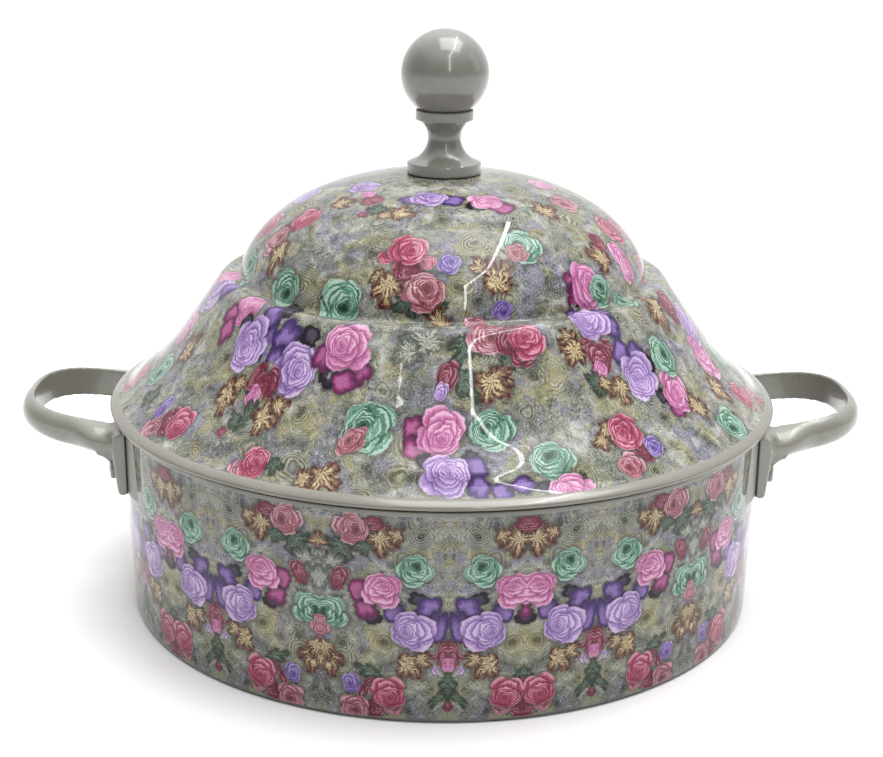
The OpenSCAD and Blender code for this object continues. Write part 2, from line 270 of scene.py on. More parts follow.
def printed():
    """Transfer-printed enamel: sketchy mottled ground with blooms from the mesh, under clear gloss."""
    mat, n, b = material("printed_enamel")
    p = n.attr("ground")
    # ground: drifting stone, khaki, lavender and pale patches
    a1, c1 = n.noise(p, 0.055, 3.0, 0.55, 0.6)
    a2, _ = n.noise(n.v("ADD", p, (31.0, 7.0, 3.0)), 0.075, 3.0, 0.55, 0.8)
    a3, _ = n.noise(n.v("ADD", p, (-17.0, 41.0, 9.0)), 0.11, 2.0, 0.5, 0.4)
    ground = n.stops(a1, [(0.30, ink(112, 117, 111)), (0.42, ink(142, 145, 136)), (0.50, ink(162, 163, 151)),
                          (0.58, ink(184, 184, 170)), (0.68, ink(208, 208, 202))])
    ground = n.mix(n.m("MULTIPLY", n.ramp(a2, 0.50, 0.60), 0.80), ground, ink(150, 148, 168))
    ground = n.mix(n.m("MULTIPLY", n.ramp(a3, 0.53, 0.62), 0.75), ground, ink(172, 166, 124))
    ground = n.mix(n.m("MULTIPLY", n.ramp(a2, 0.44, 0.30), 0.50), ground, ink(112, 130, 118))
    # clouded darks and lights at the size of a petal
    cl, _ = n.noise(p, 0.22, 4.0, 0.66, 0.5)
    ground = n.mix(n.ramp(cl, 0.52, 0.68, 0.0, 0.66), ground, ink(70, 75, 70))
    ground = n.mix(n.ramp(cl, 0.48, 0.32, 0.0, 0.66), ground, ink(214, 214, 205))
    # sketch lines: warped bands in drifting directions, broken up along their length
    warp = n.v("ADD", p, n.v("SCALE", n.v("SUBTRACT", n.noise(p, 0.09, 3.0, 0.6)[1], (0.5, 0.5, 0.5)), scale=30.0))
    brk = n.ramp(n.noise(p, 0.9, 2.0, 0.6)[0], 0.40, 0.56, 0.25, 1.0)
    band = n.m("SINE", n.m("MULTIPLY", n.sep(warp)[0], 3.2))
    band2 = n.m("SINE", n.m("MULTIPLY", n.sep(warp)[1], 3.6))
    on = n.ramp(n.noise(p, 0.14, 2.0, 0.5)[0], 0.48, 0.60)
    on2 = n.ramp(n.noise(n.v("ADD", p, (5.0, 90.0, 2.0)), 0.13, 2.0, 0.5)[0], 0.50, 0.62)
    l1 = n.m("MULTIPLY", n.m("MULTIPLY", n.ramp(band, 0.35, 0.9), brk), n.m("MULTIPLY", on, 0.62))
    l2 = n.m("MULTIPLY", n.m("MULTIPLY", n.ramp(band2, 0.35, 0.9), brk), n.m("MULTIPLY", on2, 0.58))
    ground = n.mix(l1, ground, ink(58, 61, 56))
    ground = n.mix(l2, ground, ink(60, 60, 66))
    # crackle and stipple
    cr = n.voronoi(n.v("ADD", p, n.v("SCALE", n.noise(p, 0.7, 2.0, 0.6)[1], scale=1.6)), 0.62, "DISTANCE_TO_EDGE")
    crack = n.m("MULTIPLY", n.ramp(cr["Distance"], 0.08, 0.02), n.ramp(n.noise(p, 0.17, 2.0, 0.5)[0], 0.46, 0.60, 0.0, 0.5))
    ground = n.mix(crack, ground, ink(58, 60, 56))
    sp, _ = n.noise(p, 2.1, 3.0, 0.78)
    ground = n.mix(n.ramp(sp, 0.52, 0.66, 0.0, 0.66), ground, ink(60, 62, 58))
    ground = n.mix(n.ramp(sp, 0.47, 0.34, 0.0, 0.60), ground, ink(224, 224, 216))
    # swirls: long curls drawn as fine arcs about scattered centres, a large and a small set
    jit = n.v("SCALE", n.v("SUBTRACT", n.noise(p, 0.10, 1.0, 0.5)[1], (0.5, 0.5, 0.5)), scale=6.0)
    lump = n.noise(p, 0.30, 2.0, 0.5)[0]
    for size, freq, at0, wt, base, tint in ((0.046, 118.0, 0.46, 0.62, ink(170, 166, 134), ink(74, 74, 56)),
                                            (0.074, 84.0, 0.55, 0.66, ink(154, 156, 140), ink(58, 62, 54))):
        vor = n.voronoi(n.v("ADD", p, jit), size)
        dist = vor["Distance"]
        pick = n.ramp(n.sep(vor["Color"])[0], at0, at0 + 0.05)
        arcs = n.m("SINE", n.m("MULTIPLY_ADD", dist, freq, n.m("MULTIPLY", lump, 5.0)))
        fade = n.ramp(n.noise(p, 0.16, 2.0, 0.5)[0], 0.40, 0.60, 0.35, 1.0)
        body = n.m("MULTIPLY", n.m("MULTIPLY", n.ramp(dist, 0.48, 0.22), pick), fade)
        ground = n.mix(n.m("MULTIPLY", body, 0.55), ground, base)
        ground = n.mix(n.m("MULTIPLY", n.m("MULTIPLY", n.ramp(arcs, -0.1, 0.6), body), wt), ground, tint)
        ground = n.mix(n.m("MULTIPLY", n.m("MULTIPLY", n.ramp(arcs, -0.6, -0.95), body), 0.45), ground, ink(214, 210, 188))
        heart = n.m("MULTIPLY", n.m("MULTIPLY", n.ramp(dist, 0.12, 0.07), n.ramp(n.noise(p, 1.6, 2.0, 0.6)[0], 0.40, 0.55, 0.3, 1.0)), pick)
        ground = n.mix(n.m("MULTIPLY", heart, 0.85), ground, ink(48, 50, 42))
    c = ground
    for layer in "CBA":
        gn = n.node("ShaderNodeGroup")
        gn.node_tree = BLOOM
        n.put(gn.inputs[0], n.attr("f" + layer))
        n.put(gn.inputs[1], n.attr("hi" + layer))
        n.put(gn.inputs[2], n.attr("lo" + layer))
        n.put(gn.inputs[3], n.attr("st" + layer))
        n.put(gn.inputs[4], c)
        c = gn.outputs[0]
    # print grain over everything
    gr, _ = n.noise(p, 3.6, 2.0, 0.7)
    c = n.mix(1.0, c, n.stops(gr, [(0.28, (0.62, 0.62, 0.63)), (0.5, (0.84, 0.84, 0.85)), (0.72, (1.04, 1.04, 1.04))]), mode="MULTIPLY")
    gam = n.node("ShaderNodeGamma")
    n.put(gam.inputs[0], c)
    gam.inputs[1].default_value = 1.5
    n.put(b.inputs["Base Color"], gam.outputs[0])
    n.put(b.inputs["Roughness"], n.ramp(gr, 0.3, 0.7, 0.34, 0.42))
    b.inputs["IOR"].default_value = 1.45
    b.inputs["Specular IOR Level"].default_value = 0.0
    b.inputs["Coat Weight"].default_value = 1.0
    b.inputs["Coat Roughness"].default_value = 0.03
    b.inputs["Coat IOR"].default_value = 1.34
    bump = n.node("ShaderNodeBump")
    bump.inputs["Strength"].default_value = 0.01
    bump.inputs["Distance"].default_value = 0.0002
    n.put(bump.inputs["Height"], n.noise(p, 0.12, 1.0, 0.4)[0])
    n.put(b.inputs["Coat Normal"], bump.outputs[0])
    return mat


PRINT = printed()


# kind: (light colour, dark colour, style) - style is (ring lines, dark edge, line art only)
KIND = {
    "P": (ink(204, 176, 222), ink(80, 54, 122), (0.08, 0.0, 0.0)),     # lavender rose
    "Q": (ink(140, 110, 178), ink(40, 26, 70), (0.0, 1.0, 0.0)),       # its deep violet outer petals
    "K": (ink(226, 158, 198), ink(132, 48, 98), (0.06, 0.0, 0.0)),     # pink rose
    "M": (ink(178, 88, 146), ink(74, 20, 58), (0.0, 1.0, 0.0)),        # its magenta outer petals
    "R": (ink(204, 106, 134), ink(86, 24, 44), (0.14, 0.0, 0.0)),      # raspberry rose
    "C": (ink(158, 78, 98), ink(56, 20, 32), (0.0, 0.15, 0.0)),        # crimson bud and outer petals
    "D": (ink(196, 134, 144), ink(96, 44, 58), (0.75, 0.0, 0.0)),      # dusty pink ranunculus
    "G": (ink(140, 188, 162), ink(30, 58, 48), (1.0, 0.0, 0.0)),       # mint ranunculus
    "S": (ink(196, 134, 142), ink(84, 40, 50), (0.9, 0.2, 0.0)),       # seed head
    "T": (ink(214, 200, 156), ink(84, 34, 42), (1.0, 1.0, 0.0)),       # gold tulip with burgundy edges
    "V": (ink(150, 126, 192), ink(70, 48, 116), (0.6, 0.0, 0.0)),      # small violet
    "N": (ink(58, 46, 66), ink(20, 16, 24), (0.0, 1.0, 0.0)),          # near-black leaf
    "E": (ink(112, 134, 114), ink(40, 54, 44), (1.0, 1.0, 0.2)),       # green leaf
    "W": (ink(196, 200, 188), ink(84, 90, 80), (1.0, 1.0, 0.25)),      # pale leaves
    "O": (ink(84, 86, 64), ink(44, 46, 38), (1.0, 0.0, 1.0)),          # olive line rosette
    "Y": (ink(198, 192, 150), ink(150, 142, 104), (0.3, 0.0, 0.9)),    # khaki swirl
}

# Wall: one strip of the repeat, (distance from the strip's mirror line, height, radius, kind, aspect, turn)
WALL = [
    (24, 36, 11, "Y", 1, 0), (24, 35.5, 5.2, "O", 1, 0), (13.8, 5.5, 5.2, "O", 1, 0), (16, 82.5, 5.6, "O", 1, 0),
    (40, 31, 5.5, "O", 1, 0), (48, 9.5, 4.6, "O", 1, 0),
    (42, 71, 6, "E", 1, 30), (33, 73, 5, "E", 0.7, 0), (31, 21, 6, "E", 0.5, 20), (49, 66, 5.5, "W", 0.9, 0),
    (44.5, 66.5, 4.2, "W", 1, 40), (50.4, 59.5, 4.2, "W", 1.3, 0), (42, 59.5, 3.4, "C", 1.6, 25), (50.4, 74, 4.0, "T", 0.8, 0),
    (46.5, 44.5, 8.2, "G", 0.85, 0), (50.4, 38.0, 4.1, "S", 1.15, 0), (47.8, 23.2, 6.6, "T", 1.0, 35), (48.5, 28, 4.4, "T", 1.1, -20),
    (3.2, 24.0, 3.0, "P", 1.2, 0), (0, 16.5, 3.6, "E", 1.7, 0), (4.4, 10.5, 4.6, "E", 0.42, -50), (0, 7.4, 2.0, "C", 1.0, 0),
    (5.5, 31.5, 3.6, "C", 1.2, 0), (0, 30.0, 4.6, "C", 1.5, 0), (0, 25.4, 2.6, "K", 1.3, 0),
    (14.2, 24.4, 5.8, "T", 1.0, 25), (9.5, 27.5, 3.4, "T", 1.1, -35),
    (24.8, 76.3, 6.0, "T", 1.05, -15), (20.3, 78.5, 3.6, "T", 0.9, 30), (29, 82.8, 5.2, "C", 0.6, 0), (37.4, 80.4, 6.9, "D", 0.95, 20),
    (12.0, 53.2, 3.6, "N", 0.8, 10), (7.8, 49.4, 5.6, "Q", 0.85, -25), (4.4, 41.5, 4.4, "Q", 1.7, 10), (20.6, 46.8, 4.6, "Q", 1.0, 30),
    (13.2, 39.6, 8.8, "P", 0.95, 20),
    (29.0, 44.6, 3.8, "N", 0.9, 0), (34.0, 55.0, 4.6, "M", 1.2, -15), (31.8, 47.4, 4.9, "M", 0.9, 20), (25.6, 55.4, 8.2, "K", 0.88, -15),
    (12.9, 64.6, 6.8, "G", 1.0, 0),
    (30.4, 12.2, 5.2, "C", 1.25, 20), (28.5, 5.4, 5.2, "C", 0.8, -10), (21.2, 5.6, 3.6, "D", 0.7, 0), (22.9, 12.8, 6.9, "R", 1.0, 0),
    (36.8, 5.0, 6.3, "D", 0.9, -15), (37.8, 15.6, 3.8, "V", 1.15, 0),
]
# Lid: (azimuth in degrees from the front, distance up the skin from its foot, radius, kind, aspect, turn)
LID = [
    (-50, 44, 12, "Y", 1, 0), (-27, 31, 13, "Y", 1, 0), (21, 50, 13, "Y", 1, 0), (-20, 106, 12, "Y", 1, 0), (34, 30, 11, "Y", 1, 0), (4, 90, 10, "Y", 1, 0),
    (-52, 43, 5.2, "O", 1.2, 0), (-27, 30, 6.4, "O", 1.2, 0), (-5, 8, 5.6, "O", 1, 0), (19.1, 50, 7.2, "O", 1, 0), (-22.4, 107, 6.6, "O", 1, 0),
    (3.9, 93, 5.6, "O", 1, 0), (7.8, 87.5, 5.6, "O", 1, 0), (34.4, 78, 5.6, "O", 1, 0), (30.5, 62, 6, "O", 1.1, 0), (43, 22, 6, "O", 1, 0),
    (-53, 111, 5.2, "O", 1, 0), (24, 120, 7, "O", 0.9, 0), (-45, 120, 6, "O", 1, 0), (29.6, 92, 5.6, "O", 1, 0), (-12, 12, 5.5, "O", 1, 0), (0, 128, 6, "O", 1, 0),
    (-4, 66, 7.5, "W", 1.0, 0), (-7.5, 73, 5.4, "W", 0.9, 30), (0.5, 74, 5.0, "W", 1.0, -20), (-9, 60, 5, "W", 1.2, 0), (3.5, 62, 5.0, "E", 1.5, -25),
    (-10, 84, 6, "E", 0.8, 0), (-3, 83, 5, "E", 1.1, 20), (4, 47, 5, "E", 1.6, 25), (14, 56, 4.6, "E", 1, 0), (-1.6, 79, 4.2, "T", 1.5, 30),
    (0.3, 50.5, 3.9, "C", 1.9, -22), (-0.9, 44.5, 2.6, "P", 1.6, -20),
    (-48, 83.5, 8.2, "G", 1.05, 0), (-28.6, 83, 9.4, "G", 1.1, 0),
    (-41.5, 73, 5.0, "N", 1.2, 20), (-55, 67.5, 8.4, "K", 1.05, -20), (-59.2, 61, 4.8, "M", 1.2, 0), (-57.2, 54.5, 4.8, "M", 1.3, 15), (-51.5, 61, 3.4, "N", 1.3, 0),
    (-44.2, 66.5, 5.4, "Q", 1.45, 5), (-41.6, 55, 4.4, "Q", 2.0, 10), (-47.2, 54, 9.2, "P", 1.35, 10),
    (-37.6, 60.5, 6.2, "Q", 1.25, -20), (-38.2, 50, 4.4, "Q", 1.7, 5), (-27.6, 51.5, 4.6, "Q", 1.4, 10), (-31.5, 62.0, 4.6, "N", 1.1, 25),
    (-32.9, 47.2, 10.4, "P", 1.15, -10),
    (-24.2, 47.0, 4.2, "N", 1.2, 0), (-26.6, 54.5, 5.0, "M", 1.2, 0), (-17.6, 50.5, 4.8, "M", 1.2, 0), (-20.4, 46.0, 5.6, "M", 0.9, 10),
    (-21.5, 60.0, 10.4, "K", 1.0, -25),
    (-40.8, 41.5, 3.4, "C", 2.0, -12), (-36.6, 41, 3.8, "C", 1.8, 12), (-38.4, 38, 4.2, "C", 1.7, 0), (-39.6, 33.5, 3.4, "K", 1.5, 0),
    (-38.6, 25.5, 3.6, "E", 2.0, 0), (-40.8, 21.5, 2.8, "E", 1.8, 30), (-37, 22, 3.0, "W", 2.0, -25), (-42, 15.5, 2.3, "C", 1.1, 0),
    (-45.8, 29.5, 5.2, "T", 1.6, 15), (-44.2, 36.5, 3.4, "T", 1.2, 0), (-34.6, 26.0, 5.6, "T", 1.5, 10), (-32.6, 32.5, 4.0, "T", 1.1, -20),
    (-55.8, 11, 5.0, "C", 1.5, 15), (-52.6, 12.5, 6.8, "R", 1.2, 0), (-59.3, 5, 5.4, "D", 1.2, 0), (-60.6, 14.5, 3.8, "V", 1.6, 0),
    (-34.6, 3, 4.6, "D", 0.8, 0), (-32.2, 6, 6.4, "R", 1.2, 0), (-28.4, 7, 3.6, "E", 1.1, 0), (-19.2, 5, 6.6, "T", 1.1, 0), (-22.4, 4, 4.2, "T", 1.0, 30),
    (-13.8, 28.0, 10.6, "G", 1.1, -20), (-16.4, 22.5, 4.6, "S", 1.55, -35),
    (-17.2, 104.5, 5.0, "R", 0.7, 20), (-6.4, 103.5, 5.2, "R", 0.7, -25), (-10.8, 98.5, 7.0, "C", 0.75, 0), (-12.2, 108.6, 8.2, "R", 0.92, 0),
    (-6.2, 89.6, 8.8, "D", 0.95, 0), (0.9, 102.2, 4.9, "V", 1.0, 0), (-18.4, 94, 4.2, "T", 1.1, 20), (-16.2, 89.6, 6.4, "T", 1.15, -10),
    (25.2, 109, 8.6, "G", 1.0, 0), (22.6, 106.4, 4.9, "S", 0.95, 0), (10.4, 101, 4.4, "T", 1.1, 35), (14.8, 95.5, 6.6, "T", 1.3, -15),
    (14.6, 82.0, 4.3, "V", 0.95, 0), (7.2, 76, 4.6, "D", 1.0, 0), (8.8, 66.5, 7.4, "D", 1.05, 0), (13.6, 65, 5.0, "C", 1.4, -15), (16.6, 57.5, 5.2, "C", 0.9, 20),
    (18.4, 63.6, 7.4, "R", 1.05, 0), (11.4, 50, 4.6, "T", 1.1, 30), (9.4, 46.4, 7.2, "T", 1.05, -15), (8.2, 28.4, 9.2, "G", 0.95, 0),
    (-5.6, 29.5, 4.8, "M", 1.2, -10), (-5.2, 21.6, 5.2, "M", 1.1, 0), (-3.4, 16.2, 3.8, "N", 0.9, 0), (-1.0, 28.6, 8.8, "K", 1.25, -15),
    (4.0, 18.0, 3.2, "N", 0.9, 0), (4.4, 12.8, 5.6, "Q", 1.0, 20), (5.0, 4.5, 4.6, "Q", 1.2, 0), (-0.2, 9.4, 9.4, "P", 1.0, 0),
    (17.8, 14.0, 9.2, "G", 0.9, 0), (8.6, 2.5, 4.4, "Q", 1.0, 0), (12.2, 5, 5.4, "Q", 0.7, 0), (15.4, 4, 3.0, "N", 0.8, 0), (19.6, 2, 9.0, "K", 0.7, 0),
    (37.2, 90.5, 4.8, "M", 1.0, 0), (36.8, 83.8, 4.8, "M", 1.3, 0), (38.4, 78.2, 4.0, "N", 0.8, 0), (41.2, 87.0, 7.8, "K", 1.4, 0), (46.4, 84, 6.0, "G", 1.2, 0),
    (34.6, 75.0, 4.4, "Q", 1.0, 0), (40.8, 71.0, 4.6, "Q", 1.5, -20), (41.4, 64, 4.2, "Q", 1.3, 0), (36.4, 69.0, 9.0, "P", 1.05, -20),
    (32.4, 58.4, 3.2, "C", 1.2, 0), (37.4, 56, 3.6, "C", 1.2, 0), (34.6, 53.0, 5.4, "C", 1.35, 0), (33.6, 48.0, 3.4, "K", 1.2, 0),
    (31.4, 43.0, 3.6, "E", 1.7, 20), (28.0, 62.5, 4.2, "T", 1.2, 0), (28.4, 56.8, 6.0, "T", 1.0, 15), (36.6, 38.0, 6.0, "T", 1.0, -10), (33.8, 42, 3.2, "T", 1.2, 30),
    (40.8, 52.0, 4.6, "Q", 1.6, -15), (45.2, 51.0, 4.6, "Q", 1.3, 10), (47.6, 45.5, 3.6, "N", 1.2, 0), (43.4, 42.2, 9.4, "P", 1.15, -15),
    (48.6, 26.0, 4.8, "M", 1.3, 0), (46.4, 31.6, 3.0, "N", 1.2, 0), (50.8, 31.6, 7.8, "K", 1.3, -15), (53.0, 46.0, 7.2, "G", 1.3, 0), (53.6, 75.5, 5.2, "G", 1.2, 0),
    (30.2, 22.0, 5.6, "T", 1.1, 10), (27.8, 19, 3.8, "T", 1.0, -20), (35.2, 13.0, 5.0, "C", 1.2, 0), (33.6, 21.2, 7.4, "R", 1.1, 0), (31.4, 7.0, 6.0, "D", 0.95, 0), (37.4, 12.6, 4.4, "V", 1.1, 0),
    (54.4, 22.0, 5.2, "T", 1.3, 0), (52.2, 98, 5.8, "T", 1.3, 20), (56.5, 104, 4.2, "C", 1.2, 0), (63, 92, 6.2, "K", 1.7, 0), (61, 64, 6.4, "T", 1.5, 0),
    (69, 62, 6, "C", 1.5, 0), (70.5, 36, 8.4, "K", 1.4, 0), (75, 50, 8.6, "P", 1.2, 0), (66, 22, 6.5, "T", 1.2, 0), (73, 12, 7, "R", 1.1, 0), (79, 6, 6, "D", 1, 0),
    (60, 8, 8.5, "G", 1, 0), (83, 30, 8.5, "G", 1, 0), (88, 62, 8, "P", 1.1, 0), (94, 55, 5, "Q", 1.3, 0), (90, 84, 8, "G", 1, 0), (76, 84, 7, "D", 1, 0),
    (72, 106, 8, "R", 1, 0), (84, 104, 7.5, "D", 1, 0), (96, 108, 6, "T", 1.1, 0), (66, 128, 7.4, "D", 0.9, 0), (48, 128, 6, "T", 1, 0),
    (28.0, 134.0, 6.0, "M", 0.8, 15), (15.0, 136.5, 4.4, "N", 0.8, 0), (21.6, 140.0, 7.6, "K", 0.85, -10),
    (3.0, 142.0, 5.6, "Q", 0.9, 0), (-20, 141, 4.6, "Q", 0.8, 0), (-9.5, 143.6, 7.8, "P", 0.85, 0),
    (-62, 146.0, 7.4, "P", 0.85, 0), (-40, 137.0, 5.2, "C", 0.9, 0), (-48, 141, 3.6, "K", 0.9, 0), (-53, 131.0, 5.6, "T", 0.9, 0), (-19, 130.4, 5.8, "T", 0.9, 0), (-26, 128, 3.8, "T", 0.9, 20),
    (-32, 131, 4.4, "E", 0.9, 0), (-36, 126, 2.6, "C", 0.8, 0),
    (-63.5, 109, 5.4, "C", 0.9, 0), (-61.0, 116.0, 7.4, "R", 0.95, 0), (-64.5, 101.0, 6.4, "D", 1.2, 0), (-57.4, 95.0, 5.8, "T", 1.4, 15),
    (-72, 84, 8.4, "G", 1, 0), (-76, 64, 9, "P", 1.15, 0), (-70, 70, 5, "Q", 1.3, 0), (-82, 74, 8, "K", 1, 0), (-80, 44, 8.6, "K", 1.1, 0), (-69, 40, 6.4, "T", 1.3, 0),
    (-75, 24, 8.6, "G", 1, 0), (-68, 14, 5, "E", 1.2, 0), (-84, 10, 8, "R", 1.1, 0), (-91, 6, 6, "D", 1, 0), (-92, 28, 7, "T", 1.2, 0), (-90, 56, 8.4, "P", 1.1, 0),
    (-94, 88, 8.4, "D", 1, 0), (-80, 104, 7.6, "R", 1, 0), (-88, 124, 7.6, "P", 0.9, 0), (84, 142, 7, "K", 0.9, 0), (130, 146, 7, "P", 0.9, 0), (-130, 144, 7, "K", 0.9, 0),
    (180, 142, 7, "D", 0.9, 0),
]


def paint(mesh, bed, blooms):
    """Writes, for three layers, each face's topmost blooms and every corner's place in them.
    bed(k) gives each corner's and each face centre's offsets from bloom k, in mm."""
    loops = np.empty(len(mesh.loops), np.int32)
    mesh.loops.foreach_get("vertex_index", loops)
    counts = np.empty(len(mesh.polygons), np.int32)
    mesh.polygons.foreach_get("loop_total", counts)
    face_of = np.repeat(np.arange(len(counts)), counts)
    nf, nl = len(counts), len(loops)
    stack = -np.ones((3, nf), np.int32)
    for k, b in enumerate(blooms):
        u, v = bed(k, "face")
        reach = b[2] * 1.22 + 1.3
        near = np.sqrt(u * u + v * v) < reach
        stack[2][near] = stack[1][near]
        stack[1][near] = stack[0][near]
        stack[0][near] = k
    f = {L: np.full((nl, 3), 9.0, np.float32) for L in "ABC"}
    hi = {L: np.zeros((nf, 3), np.float32) for L in "ABC"}
    lo = {L: np.zeros((nf, 3), np.float32) for L in "ABC"}
    st = {L: np.zeros((nf, 3), np.float32) for L in "ABC"}
    for k, b in enumerate(blooms):
        for row, L in enumerate("ABC"):
            faces = stack[row] == k
            if not faces.any():
                continue
            sel = faces[face_of]
            u, v = bed(k, "loop", sel)
            f[L][sel, 0] = u / b[2]
            f[L][sel, 1] = v / b[2]
            f[L][sel, 2] = 1.0 + (k * 0.6180339) % 1.0 * 6.0
            h, l, s = KIND[b[3]]
            hi[L][faces], lo[L][faces], st[L][faces] = h, l, s
    for L in "ABC":
        for nm, arr, dom in (("f", f[L], "CORNER"), ("hi", hi[L], "FACE"), ("lo", lo[L], "FACE"), ("st", st[L], "FACE")):
            at = mesh.attributes.new(nm + L, "FLOAT_VECTOR", dom)
            at.data.foreach_set("vector", arr.ravel())


def revolve(name, prof, cols, start=0.0, mats=(), slots=None, sharp=32.0):
    """A closed or open profile of (r, z) in mm turned about Z. Rings of radius 0 become poles."""
    prof = [(float(r), float(z)) for r, z in prof]
    ang = np.radians(start + np.arange(cols) * 360.0 / cols)
    sx, cx = np.sin(ang), -np.cos(ang)
    verts, idx = [], []
    for r, z in prof:
        if r < 1e-6:
            idx.append([len(verts)] * cols)
            verts.append((0.0, 0.0, z * MM))
        else:
            idx.append(list(range(len(verts), len(verts) + cols)))
            verts += [(r * MM * a, r * MM * b, z * MM) for a, b in zip(sx, cx)]
    faces, fm = [], []
    for i in range(len(prof) - 1):
        a, b = idx[i], idx[i + 1]
        for j in range(cols):
            k = (j + 1) % cols
            q = [a[j], a[k], b[k], b[j]]
            q = [x for t, x in enumerate(q) if x != q[t - 1]]
            if len(q) >= 3:
                faces.append(q)
                fm.append(slots[i] if slots else 0)
    me = bpy.data.meshes.new(name)
    me.from_pydata(verts, [], faces)
    for m in mats:
        me.materials.append(m)
    me.polygons.foreach_set("material_index", fm)
    me.polygons.foreach_set("use_smooth", [True] * len(faces))
    me.validate()
    me.update()
    me.set_sharp_from_angle(angle=math.radians(sharp))
    o = bpy.data.objects.new(name, me)
    col.objects.link(o)
    return o


def coords(me):
    co = np.empty(len(me.vertices) * 3)
    me.vertices.foreach_get("co", co)
    co = co.reshape(-1, 3) / MM
    loops = np.empty(len(me.loops), np.int32)
    me.loops.foreach_get("vertex_index", loops)
    cen = np.empty(len(me.polygons) * 3)
    me.polygons.foreach_get("center", cen)
    counts = np.empty(len(me.polygons), np.int32)
    me.polygons.foreach_get("loop_total", counts)
    return co[loops], cen.reshape(-1, 3) / MM, np.repeat(np.arange(len(counts)), counts)


def wrap(a):
    return (a + 180.0) % 360.0 - 180.0


def cr_spline(pts, steps):
    out = []
    m = len(pts) - 1
    P = [np.array(p, float) for p in pts]
    for i in range(m):
        for k in range(steps):
            u = k / steps
            p0, p1, p2, p3 = P[max(i - 1, 0)], P[i], P[i + 1], P[min(i + 2, m)]
            out.append(0.5 * (2 * p1 + (p2 - p0) * u + (2 * p0 - 5 * p1 + 4 * p2 - p3) * u * u
                              + (3 * p1 - p0 - 3 * p2 + p3) * u ** 3))
    out.append(P[m])
    return np.array(out)


def evenly(pts, step):
    pts = np.array(pts, float)
    s = np.concatenate([[0], np.cumsum(np.hypot(*np.diff(pts, axis=0).T))])
    n = max(int(round(s[-1] / step)), 1)
    t = np.linspace(0, s[-1], n + 1)
    return np.column_stack([np.interp(t, s, pts[:, 0]), np.interp(t, s, pts[:, 1])])


# ---------------------------------------------------------------- the printed pot and lid
FOLD = 12.6          # a mirror line of the wall's repeat, degrees from the front
NARROW, WIDE = 12.0, 20.4
MM_DEG = 141.5 * math.pi / 180


def wall_r(z):
    return 142.5 - 2.6 * (1 - z / 90)


def coat_material(name, base, fleck, rough, scale):
    """Sprayed coat with a fine two-tone fleck."""
    mat, n, b = material(name)
    p = n.node("ShaderNodeTexCoord").outputs["Object"]
    f, _ = n.noise(p, scale, 3.0, 0.7)
    g, _ = n.noise(p, 22.0, 3.0, 0.55)
    c = n.mix(n.ramp(f, 0.52, 0.64), base, fleck)
    c = n.mix(n.ramp(f, 0.40, 0.30, 0.0, 0.5), c, (0.78, 0.77, 0.74))
    c = n.mix(1.0, c, n.stops(g, [(0.3, (0.93, 0.93, 0.93)), (0.7, (1.06, 1.06, 1.06))]), mode="MULTIPLY")
    n.put(b.inputs["Base Color"], c)
    n.put(b.inputs["Roughness"], n.ramp(g, 0.3, 0.7, rough - 0.04, rough + 0.05))
    bump = n.node("ShaderNodeBump")
    bump.inputs["Strength"].default_value = 0.12
    bump.inputs["Distance"].default_value = 0.0003
    n.put(bump.inputs["Height"], f)
    n.put(b.inputs["Normal"], bump.outputs[0])
    return mat


def lacquer(name, base, deep, rough, coat=0.6, tone=0.05):
    """Sprayed gloss lacquer: slow drift of tone, orange peel, a little wear-polish in the roughness."""
    mat, n, b = material(name)
    p = n.node("ShaderNodeTexCoord").outputs["Object"]
    g, _ = n.noise(p, 34.0, 4.0, 0.6)
    f, _ = n.noise(p, 900.0, 2.0, 0.6)
    c = n.mix(n.ramp(g, 0.30, 0.72), base, deep)
    c = n.mix(1.0, c, n.stops(f, [(0.3, (1 - tone,) * 3), (0.7, (1 + tone,) * 3)]), mode="MULTIPLY")
    n.put(b.inputs["Base Color"], c)
    n.put(b.inputs["Roughness"], n.ramp(g, 0.25, 0.75, rough - 0.05, rough + 0.06))
    b.inputs["Coat Weight"].default_value = coat
    b.inputs["Coat Roughness"].default_value = 0.09
    b.inputs["Coat IOR"].default_value = 1.5
    bump = n.node("ShaderNodeBump")
    bump.inputs["Strength"].default_value = 0.10
    bump.inputs["Distance"].default_value = 0.0002
    n.put(bump.inputs["Height"], n.noise(p, 260.0, 2.0, 0.5)[0])
    n.put(b.inputs["Normal"], bump.outputs[0])
    return mat


def metal(name, turned=True):
    mat, n, b = material(name)
    p = n.node("ShaderNodeTexCoord").outputs["Object"]
    s = n.sep(p)
    rad = n.m("SQRT", n.m("ADD", n.m("MULTIPLY", s[0], s[0]), n.m("MULTIPLY", s[1], s[1])))
    v = n.comb(n.m("MULTIPLY", rad, 1.0 if turned else 0.1), n.m("MULTIPLY", s[2], 1.0), 0.0)
    f, _ = n.noise(v, 1800.0, 3.0, 0.65)
    g, _ = n.noise(p, 40.0, 3.0, 0.6)
    c = n.mix(n.ramp(f, 0.3, 0.7), (0.50, 0.50, 0.49), (0.66, 0.65, 0.63))
    n.put(b.inputs["Base Color"], c)
    b.inputs["Metallic"].default_value = 1.0
    n.put(b.inputs["Roughness"], n.m("ADD", n.ramp(f, 0.3, 0.7, 0.24, 0.34), n.ramp(g, 0.3, 0.7, 0.0, 0.08)))
    bump = n.node("ShaderNodeBump")
    bump.inputs["Strength"].default_value = 0.25
    bump.inputs["Distance"].default_value = 0.00012
    n.put(bump.inputs["Height"], f)
    n.put(b.inputs["Normal"], bump.outputs[0])
    return mat


